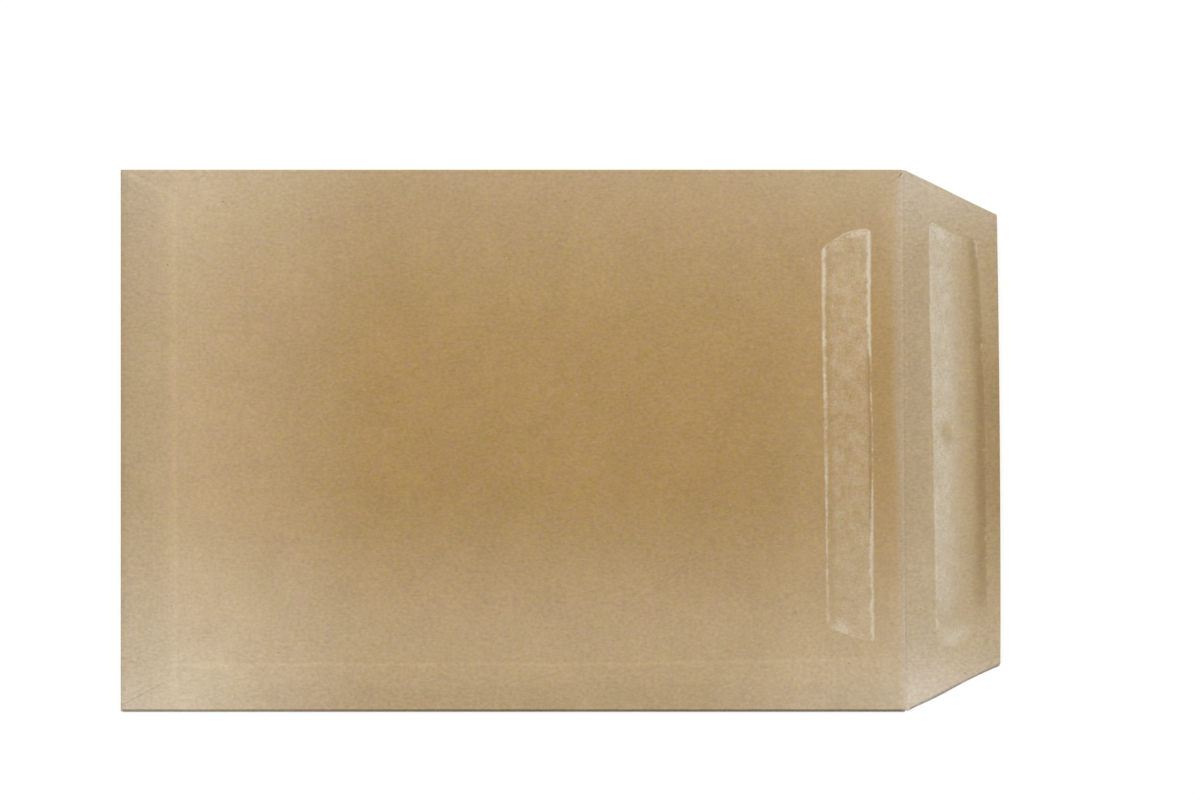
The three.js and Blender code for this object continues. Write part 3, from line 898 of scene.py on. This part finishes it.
def bead_profile(distance, y, knots, seed):
    """A rounded bead along an edge: a bell across it, about as wide as the knots say along y, whose strength
    follows them too and is broken up by short noise where it is weak."""
    knot_y, width, strength = np.array(knots).T
    ragged = 0.2 * smooth_noise(y, 2.3, seed) + 0.14 * smooth_noise(y, 0.8, seed + 3)
    width = np.interp(y, knot_y, width) * (1 + ragged)
    distance = distance + 0.1 * smooth_noise(y, 3.7, seed + 4) + 0.08 * smooth_noise(y, 0.9, seed + 6)
    strength = np.interp(y, knot_y, strength)
    broken = smooth_noise(y, 1.3, seed + 1) * 0.6 + smooth_noise(y, 5.1, seed + 2) * 0.5
    strength = np.clip(strength + (1.15 - strength) * broken, 0, 1)
    return strength * bell(distance, 0.6 * width, 0.6 * width)


def gum_piece(name, shape, height, material, milk, clear):
    """A closed film over the paper, across from one long edge to the other, and along from end to end. Its
    top is the paper's height, a thin film and the beads, and its underside and rim are sunk in the paper."""
    seed = shape["seed"]
    shares = stations((0, 0.14, 0.011), (0.14, 0.86, 0.036), (0.86, 1, 0.011))
    ends = stations((0, 0.03, 0.002), (0.03, 0.97, 0.0026), (0.97, 1, 0.002))
    across, along = np.meshgrid(shares, ends)
    low = np.interp(across, shape["end_u"], shape["seam_y"]) + 0.25 * smooth_noise(across, 0.06, seed + 5)
    high = np.interp(across, shape["end_u"], shape["plain_y"]) + 0.2 * smooth_noise(across, 0.08, seed + 6)
    y = low + (high - low) * along
    left = np.interp(y, shape["edge_y"], shape["left_x"]) + 0.1 * smooth_noise(y, 3.1, seed + 7)
    right = np.interp(y, shape["edge_y"], shape["right_x"]) + 0.1 * smooth_noise(y, 2.7, seed + 9)
    left += 0.1 * smooth_noise(y, 11, seed + 8)
    right += 0.1 * smooth_noise(y, 12, seed + 10)
    x = left + (right - left) * across

    near_left, near_right = x - left, right - x
    near_end = np.minimum(y - low, high - y)
    bead = bead_profile(near_left, y, shape["left_bead"], seed + 11)
    bead += bead_profile(near_right, y, shape["right_bead"], seed + 14)
    bead *= smoothstep(near_end, 0, 0.6)
    seam_end, plain_end = shape["end_bead"]
    end_beads = seam_end * bell(y - low, END_BEAD_INSET, END_BEAD_WIDTH)
    end_beads += plain_end * bell(high - y, END_BEAD_INSET, END_BEAD_WIDTH)
    torn = np.clip(0.85 + 0.4 * smooth_noise(across, 0.05, seed + 17), 0, 1)
    bead = np.maximum(bead, torn * end_beads)

    rise = smoothstep(np.minimum(np.minimum(near_left, near_right), near_end), 0, GUM_RIM)
    paper = height(unslanted(x, y), y) + PAPER
    top = paper + rise * (GUM_FILM + GUM_BEAD * bead) - GUM_SINK * (1 - rise)
    above, below = (np.stack([x, y, z], axis=-1).reshape(-1, 3) for z in (top, paper - 2 * GUM_SINK))
    points, faces, _ = closed(above, below, grid(*x.shape))
    values = {"bead": bead, "milk": milk(across, y, low, high), "clear": clear(across, y, low, high)}
    values = {key: np.tile(value.ravel(), 2) for key, value in values.items()}
    piece = make_piece(name, points, faces, [material], values=values)
    piece.visible_shadow = False
    return piece


def back_gum_milk(across, y, low, high):
    """Thin between the beads, thicker in the plain end, and thickest at the seam end on its left."""
    body = 0.27 * band(across, 0.08, 0.2, 0.9, 0.96)
    plain_end = 0.28 * bell(high - y, 1.6, 1.5) * smoothstep(across, 0.12, 0.4)
    seam_end = 0.62 * np.exp(-np.maximum(y - low, 0) / 3.8) * (1 - smoothstep(across, 0.25, 0.85))
    return np.clip(body + plain_end + seam_end, 0, 1)


def back_gum_clear(across, y, low, high):
    """Clear and darker in a faint band beside the left bead, and halfway along in a strong one by the right
    bead."""
    halfway = band(y, -42, -30, 32, 44)
    return 0.09 * bell(across, 0.16, 0.05) + 0.5 * halfway * bell(across, 0.925, 0.028)


def flap_gum_shift(y):
    """How much farther across the milk and the clear band lie towards the plain end, as a share."""
    return 0.1 * smoothstep(y, -45, 65)


def flap_gum_milk(across, y, low, high):
    """Thick over the half nearer the score, fading away across and before the seam end, with a whiter plain
    end, a patch at the seam end and a bare smear halfway."""
    shift = flap_gum_shift(y)
    body = 0.66 * (1 - smoothstep(across, 0.17 + shift, 0.7 + shift)) * (1 - 0.14 * smoothstep(-y, 15, 55))
    body *= smoothstep(y - low, 4, 23)
    plain_end = 0.16 * bell(high - y, 3.0, 4.0) * band(across, 0.04, 0.2, 0.5, 0.9)
    seam_end = 0.7 * bell(y - low, 4.5, 4.5) * bell(across, 0.36, 0.3)
    smear = 0.85 * bell(y, 3, 4) * bell(across, 0.26, 0.09)
    return np.clip((body + plain_end + seam_end - smear) * smoothstep(y - low, -0.5, 1.5), 0, 1)


def flap_gum_clear(across, y, low, high):
    """Clear and darker towards the edge away from the score, ending a little before the seam end, and in a
    line along the slanted plain end."""
    towards_edge = smoothstep(across, 0.62 + flap_gum_shift(y), 0.92)
    towards_edge *= 1 - 0.45 * smoothstep(across, 0.93, 1)
    outline = 0.5 * bell(high - y, 0.3, 0.4) * smoothstep(across, 0.1, 0.3)
    return 0.34 * towards_edge * smoothstep(y, -80, -62) + outline


def shared_group(name, build):
    """The node group of this name, built the first time that it is asked for."""
    return bpy.data.node_groups.get(name) or build(name)


def latex_mottle(name):
    """Dried latex, as three patterns from 0 to 1: milky clouds, bent threads along the strip, and grain."""
    outputs = {"Cloud": "Float", "Threads": "Float", "Grain": "Float"}
    group, bench, given, put = node_group(name, {"Vector": "Vector"}, outputs)
    place = given["Vector"]
    bend = bench.noise(place, 0.012, 1, output="Color")
    bent = bench.vector("MULTIPLY_ADD", bend, (0.008, 0.008, 0), place)
    threads = bench.add("ShaderNodeMapping", {"Vector": bent, "Scale": (1, 0.3, 1)}).outputs[0]
    bench.feed(put["Cloud"], bench.span(bench.noise(place, 0.0055, 3, 0.6), 0.32, 0.68))
    bench.feed(put["Threads"], bench.span(bench.noise(threads, 0.0014, 2, 0.6), 0.3, 0.7))
    bench.feed(put["Grain"], bench.span(bench.noise(place, 0.0011, 2, 0.6), 0.3, 0.7))
    return group


def latex_material(name, mottle, white, bead_colour, amber, thread_share, contrast):
    """The gum film. Its milk, clear bands and beads set its colour and how much paper shows through."""
    material, bench, shader = new_material(name)
    pattern = lay_group(bench, mottle)
    milk, clear, bead = (bench.attribute(key) for key in ("milk", "clear", "bead"))
    clouds = bench.math("MULTIPLY", pattern["Cloud"], 0.9 * (1 - thread_share))
    texture = bench.math("MULTIPLY_ADD", pattern["Threads"], 0.9 * thread_share, clouds)
    texture = bench.math("MULTIPLY_ADD", pattern["Grain"], 0.5, bench.math("MULTIPLY", texture, 0.85))
    milky = bench.math("MULTIPLY", milk, bench.span(texture, 0.15, 1.1, *contrast), clamp=True)
    beaded = bench.math("MULTIPLY", bead, bench.span(pattern["Grain"], 0.0, 1.0, 0.8, 1.05), clamp=True)
    deep_brown = bench.math("MULTIPLY", clear, bench.span(texture, 0.1, 1.15, 1.15, 0.85))
    whitened = bench.math("MAXIMUM", milky, beaded)
    total = bench.math("ADD", bench.math("ADD", whitened, deep_brown), 0.001)
    solid = bench.mix(beaded, (*white, 1), (*bead_colour, 1))
    share = bench.math("DIVIDE", whitened, total, clamp=True)
    bench.feed(shader.inputs["Base Color"], bench.mix(share, (*amber, 1), solid))
    bench.feed(shader.inputs["Alpha"], bench.math("MAXIMUM", whitened, deep_brown, clamp=True))
    bench.feed(shader.inputs["Roughness"], bench.span(pattern["Grain"], 0, 1, 0.42, 0.6))
    bench.relief(shader, texture, 0.35, 0.0001)
    shader.inputs["Specular IOR Level"].default_value = 0.35
    return material


def seam_glue_material(mottle):
    """Dried starch paste in the seams: cream, clouded and dull."""
    material, bench, shader = new_material("dried starch paste")
    pattern = lay_group(bench, mottle)
    clouded = bench.mix(pattern["Cloud"], (0.72, 0.66, 0.5, 1), (0.6, 0.53, 0.37, 1))
    bench.feed(shader.inputs["Base Color"], clouded)
    bench.feed(shader.inputs["Roughness"], bench.span(pattern["Grain"], 0, 1, 0.5, 0.75))
    bench.relief(shader, pattern["Grain"], 0.3, 0.00005)
    return material


# The table's half length and how far it lies below the paper, in millimetres, and how much it glows
TABLE_HALF = 3000
TABLE_DROP = 0.05
TABLE_GLOW = 0.07

# The lamp's apparent size, the camera's sensor in millimetres, and the place in metres below the camera
LAMP_SPREAD = math.radians(8)
SENSOR_WIDTH = 36
VIEW_CENTRE = (0.03636, 0.0170)


def table_material():
    """A matt white table top. What the camera and glossy things see of it also glows a little, so that it is
    white all over but still darkens where the envelope shades it."""
    material, bench, shader = new_material("white table top")
    shader.inputs["Roughness"].default_value = 0.9
    shader.inputs["Specular IOR Level"].default_value = 0.1
    shader.inputs["Emission Color"].default_value = (1, 1, 1, 1)
    grain = bench.noise(bench.place(), 0.02, 2)
    bench.feed(shader.inputs["Base Color"], bench.mix(grain, (0.95, 0.95, 0.95, 1), (0.94, 0.94, 0.94, 1)))
    path = bench.add("ShaderNodeLightPath").outputs
    mirrored = bench.math("MAXIMUM", path["Is Glossy Ray"], path["Is Transmission Ray"])
    seen = bench.math("MAXIMUM", path["Is Camera Ray"], mirrored)
    bench.feed(shader.inputs["Emission Strength"], bench.math("MULTIPLY", seen, TABLE_GLOW))
    return material


def colour_setting(name, description, *colour):
    """A colour to choose, in linear red, green and blue."""
    return bpy.props.FloatVectorProperty(name=name, description=description, default=colour, subtype="COLOR")


class PaperSettings(bpy.types.PropertyGroup):
    """The kraft sheet."""

    thickness: bpy.props.FloatProperty(
        name="Paper Thickness",
        description="Thickness of the kraft paper",
        default=PAPER * MM,
        unit="LENGTH",
        precision=5,
    )
    face: colour_setting("Outer Face", "Colour of the sheet's outer face", 0.404, 0.256, 0.100)
    inner: colour_setting("Inner Face", "Colour of the greyer inner face", 0.449, 0.333, 0.184)
    # The painted haze mixes the outer and inner faces towards these two colours
    haze: colour_setting("Outer Haze Colour", "Colour the outer face fades towards", 1.0, 0.97, 0.84)
    inner_haze: colour_setting("Inner Haze Colour", "Colour the inner face fades towards", 1.0, 0.96, 0.92)
    # The paper browns towards this colour, which also paints the shade of the flap's curled tip
    deep_brown: colour_setting("Deep Brown", "Colour of paper soaked with latex", 0.29, 0.18, 0.065)


class GumSettings(bpy.types.PropertyGroup):
    """The dried latex."""

    white: colour_setting("Milky Latex", "Colour of the milky latex on the flap", 0.60, 0.535, 0.415)
    cream: colour_setting("Cream Latex", "Colour of the milky latex on the back", 0.60, 0.50, 0.34)
    bead: colour_setting("Beads", "Colour of the raised edge beads", 0.64, 0.56, 0.42)
    amber: colour_setting("Clear Latex", "Colour where the latex has dried clear", 0.29, 0.18, 0.065)


class StageSettings(bpy.types.PropertyGroup):
    """The table, the light and the camera."""

    camera_height: bpy.props.FloatProperty(
        name="Camera Height", description="Height of the camera over the table", default=1.6, unit="LENGTH"
    )
    view_width: bpy.props.FloatProperty(
        name="View Width", description="Width of table that the camera sees", default=0.5057, unit="LENGTH"
    )
    sky: bpy.props.FloatProperty(
        name="Sky", description="Level of the even light from all round", default=0.36, min=0
    )
    lamp: bpy.props.FloatProperty(
        name="Lamp", description="Strength of the broad lamp", default=2.43, min=0
    )
    lamp_height: bpy.props.FloatProperty(
        name="Lamp Elevation",
        description="Angle of the lamp above the table",
        default=math.radians(56),
        subtype="ANGLE",
    )
    lamp_bearing: bpy.props.FloatProperty(
        name="Lamp Bearing",
        description="Direction of the lamp, turned from +X",
        default=math.radians(80),
        subtype="ANGLE",
    )


class ENVELOPE_OT_fold_sheet(bpy.types.Operator):
    """Fold the kraft sheet"""

    bl_idname = "envelope.fold_sheet"
    bl_label = "Fold Kraft Sheet"

    def execute(self, context):
        paper = context.scene.envelope_paper
        points, quads = folded_blank()
        x, y, z = points.T
        outer = (z > STRIP_TOP) & (x < FOLD_END_X + HAIR)
        values = {
            "painted_haze": painted_haze(x, y),
            "browning_and_painted_shade": browning_and_painted_shade(x, y, outer),
            # The two tones carry painted light and shade as well as the paper's own tone
            "tone_and_painted_light": np.where(outer, outer_tone(x, y), inner_tone(x, y)),
        }
        values = {key: np.tile(value, 2) for key, value in values.items()}
        points[:, 0] = slanted(x, y)
        shelled, faces, side = shell(points, quads, paper.thickness / MM)
        pulp = shared_group("Kraft Pulp", kraft_pulp)
        face = paper_face_material(
            "kraft outer face", pulp, paper.face, paper.haze, paper.deep_brown, 0.36, 1, LAP_LIGHT_AND_MARK_LINES, PAPER_KNOTS
        )
        inner = paper_face_material(
            "kraft inner face", pulp, paper.inner, paper.inner_haze, paper.deep_brown, 0.42, 0.6
        )
        materials = (face, inner, cut_edge_material(pulp))
        sheet = make_piece("kraft_sheet", shelled, faces, materials, side, values)
        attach(sheet, "root")
        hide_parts("folded_sheet")
        return {"FINISHED"}


class ENVELOPE_OT_lay_gum(bpy.types.Operator):
    """Lay the two gum strips"""

    bl_idname = "envelope.lay_gum"
    bl_label = "Lay Gum Strips"

    def execute(self, context):
        gum = context.scene.envelope_gum
        mottle = shared_group("Latex Mottle", latex_mottle)
        clouded = latex_material(
            "latex on back panel", mottle, gum.cream, gum.bead, gum.amber, 0.3, (-0.1, 2.2)
        )
        threaded = latex_material(
            "latex on seal flap", mottle, gum.white, gum.bead, gum.amber, 0.5, (0.5, 1.5)
        )
        back = gum_piece(
            "latex_on_back_panel", BACK_GUM, back_height, clouded, back_gum_milk, back_gum_clear
        )
        flap = gum_piece(
            "latex_on_seal_flap", FLAP_GUM, front_height, threaded, flap_gum_milk, flap_gum_clear
        )
        for piece, node in ((back, "back_gum_strip"), (flap, "flap_gum_strip")):
            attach(piece, "root")
            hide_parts(node)
        return {"FINISHED"}


class ENVELOPE_OT_paste_seams(bpy.types.Operator):
    """Give the glue in the seams its finish"""

    bl_idname = "envelope.paste_seams"
    bl_label = "Paste Seams"

    def execute(self, context):
        paste = seam_glue_material(shared_group("Latex Mottle", latex_mottle))
        for name in ("side_seam_glue", "bottom_seam_glue"):
            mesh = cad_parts[name].data
            mesh.materials.clear()
            mesh.materials.append(paste)
        return {"FINISHED"}


class ENVELOPE_OT_set_stage(bpy.types.Operator):
    """Set the table, the light and the camera"""

    bl_idname = "envelope.set_stage"
    bl_label = "Set Stage"

    def execute(self, context):
        stage = context.scene.envelope_stage
        scene = context.scene
        turns = ((-1, -1), (1, -1), (1, 1), (-1, 1))
        corners = np.array([[x * TABLE_HALF, y * TABLE_HALF, -TABLE_DROP] for x, y in turns])
        table = make_piece("table_top", corners, np.array([[0, 1, 2, 3]]), [table_material()])

        world = bpy.data.worlds.new("soft studio")
        world.use_nodes = True
        background = world.node_tree.nodes["Background"]
        background.inputs["Color"].default_value = (1, 1, 1, 1)
        bench = Bench(world.node_tree)
        path = bench.add("ShaderNodeLightPath").outputs
        seen = bench.math("MAXIMUM", path["Is Camera Ray"], path["Is Transmission Ray"])
        bench.feed(background.inputs["Strength"], bench.math("MAXIMUM", seen, stage.sky))
        scene.world = world

        lamp = bpy.data.lights.new("broad lamp", "SUN")
        lamp.energy = stage.lamp
        lamp.angle = LAMP_SPREAD
        holder = bpy.data.objects.new("broad_lamp", lamp)
        holder.rotation_euler = (math.pi / 2 - stage.lamp_height, 0, stage.lamp_bearing + math.pi / 2)
        scene.collection.objects.link(holder)

        lens = bpy.data.cameras.new("overhead camera")
        lens.sensor_width = SENSOR_WIDTH
        lens.lens = SENSOR_WIDTH * stage.camera_height / stage.view_width
        lens.clip_end = 100
        camera = bpy.data.objects.new("overhead_camera", lens)
        camera.location = (*VIEW_CENTRE, stage.camera_height)
        scene.collection.objects.link(camera)
        scene.camera = camera
        scene.view_settings.view_transform = "Standard"
        return {"FINISHED"}


class ENVELOPE_PT_builder(bpy.types.Panel):
    """The envelope's sizes, colours and build steps"""

    bl_idname = "ENVELOPE_PT_builder"
    bl_label = "Kraft Envelope"
    bl_space_type = "VIEW_3D"
    bl_region_type = "UI"
    bl_category = "Envelope"

    def draw(self, context):
        layout = self.layout
        for name in SETTINGS:
            group = getattr(context.scene, name)
            for key in group.__annotations__:
                layout.prop(group, key)
        for operator in OPERATORS:
            layout.operator(operator.bl_idname)


SETTINGS = {"envelope_paper": PaperSettings, "envelope_gum": GumSettings, "envelope_stage": StageSettings}
OPERATORS = (ENVELOPE_OT_set_stage, ENVELOPE_OT_fold_sheet, ENVELOPE_OT_lay_gum, ENVELOPE_OT_paste_seams)


def register():
    for cls in (*SETTINGS.values(), *OPERATORS, ENVELOPE_PT_builder):
        bpy.utils.register_class(cls)
    for name, cls in SETTINGS.items():
        setattr(bpy.types.Scene, name, bpy.props.PointerProperty(type=cls))


def unregister():
    for name in SETTINGS:
        delattr(bpy.types.Scene, name)
    for cls in (ENVELOPE_PT_builder, *OPERATORS, *SETTINGS.values()):
        bpy.utils.unregister_class(cls)


def main():
    """Builds every piece."""
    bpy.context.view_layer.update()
    register()
    bpy.ops.envelope.set_stage()
    bpy.ops.envelope.fold_sheet()
    bpy.ops.envelope.lay_gum()
    bpy.ops.envelope.paste_seams()


if __name__ == "__main__":
    main()
